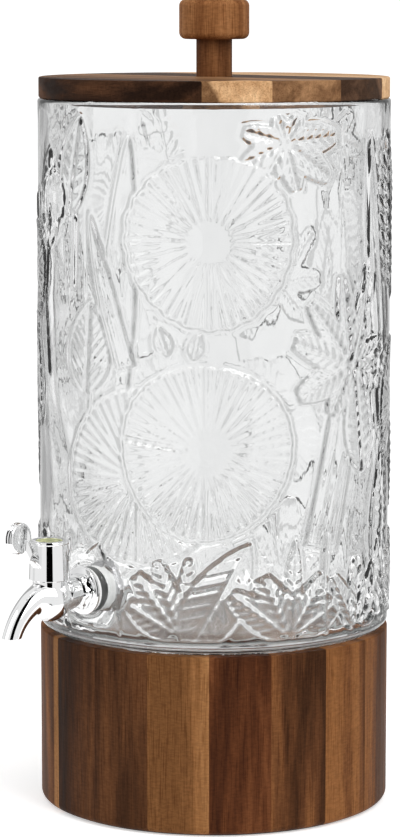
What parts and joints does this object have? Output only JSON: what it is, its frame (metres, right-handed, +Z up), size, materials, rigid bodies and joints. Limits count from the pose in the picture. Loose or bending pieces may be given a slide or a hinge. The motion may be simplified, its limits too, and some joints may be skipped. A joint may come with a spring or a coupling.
{
  "type": "tapped glass dispenser on a wooden stand",
  "caption": "Embossed glass jar on a round stave stand, with a quarter-turn chrome tap and a lift-off wooden lid with a turned knob.",
  "frame": {"origin": "centre of the underside of the foot ring, where the stand rests", "axes": "+Z up along the jar's axis, and the tap points along -Y"},
  "size_m": [0.207, 0.2719, 0.4744],
  "materials": {
    "acacia_mid": "oiled",
    "acacia_dark": "oiled",
    "acacia_light": "oiled",
    "clear_glass": "pressed relief",
    "chrome": "mirror",
    "steel": "turned",
    "silicone": "matte",
    "foam": "matte",
    "black_rubber": "matte",
    "white_plastic": "moulded",
    "insert_plastic": "moulded"
  },
  "bodies": {
    "stand": {"base_stave_01": "acacia_dark", "base_stave_02": "acacia_mid", "base_stave_03": "acacia_dark", "base_stave_04": "acacia_mid", "base_stave_05": "acacia_light", "base_stave_06": "acacia_mid", "base_stave_07": "acacia_dark", "base_stave_08": "acacia_mid", "base_stave_09": "acacia_dark", "base_stave_10": "acacia_mid", "base_stave_11": "acacia_light", "base_stave_12": "acacia_mid", "base_stave_13": "acacia_dark", "base_stave_14": "acacia_mid", "base_stave_15": "acacia_dark", "base_stave_16": "acacia_mid", "base_stave_17": "acacia_light", "base_stave_18": "acacia_mid", "base_shelf": "acacia_light", "seat_ring": "silicone", "foot_ring": "foam"},
    "jar": {"glass_jar": "clear_glass", "tap_outer_washer": "silicone", "tap_shank": "chrome", "tap_body": "chrome", "tap_inner_washer": "silicone", "tap_plate_washer": "steel", "tap_lock_nut": "steel"},
    "handle": {"tap_handle": "chrome", "valve_plug": "white_plastic", "plug_o_ring_upper": "black_rubber", "plug_o_ring_lower": "black_rubber", "handle_screw": "steel", "cap_insert": "insert_plastic"},
    "lid": {"lid_board_1": "acacia_dark", "lid_board_2": "acacia_light", "lid_board_3": "acacia_mid", "lid_board_4": "acacia_mid", "lid_board_5": "acacia_light", "lid_board_6": "acacia_light", "knob_stem": "acacia_mid", "knob_head": "acacia_mid", "knob_screw": "steel", "screw_washer": "steel"}
  },
  "joints": [
    {"name": "jar_lift", "type": "slide", "parent": "stand", "child": "jar", "axis": [0, 0, 1], "range_m": [0, 0.06]},
    {"name": "lid_lift", "type": "slide", "parent": "jar", "child": "lid", "axis": [0, 0, 1], "range_m": [0, 0.12]},
    {"name": "tap_turn", "type": "hinge", "parent": "jar", "child": "handle", "pos_m": [0, -0.133, 0.16], "axis": [0, 0, 1], "range_deg": [-97, 83]}
  ]
}
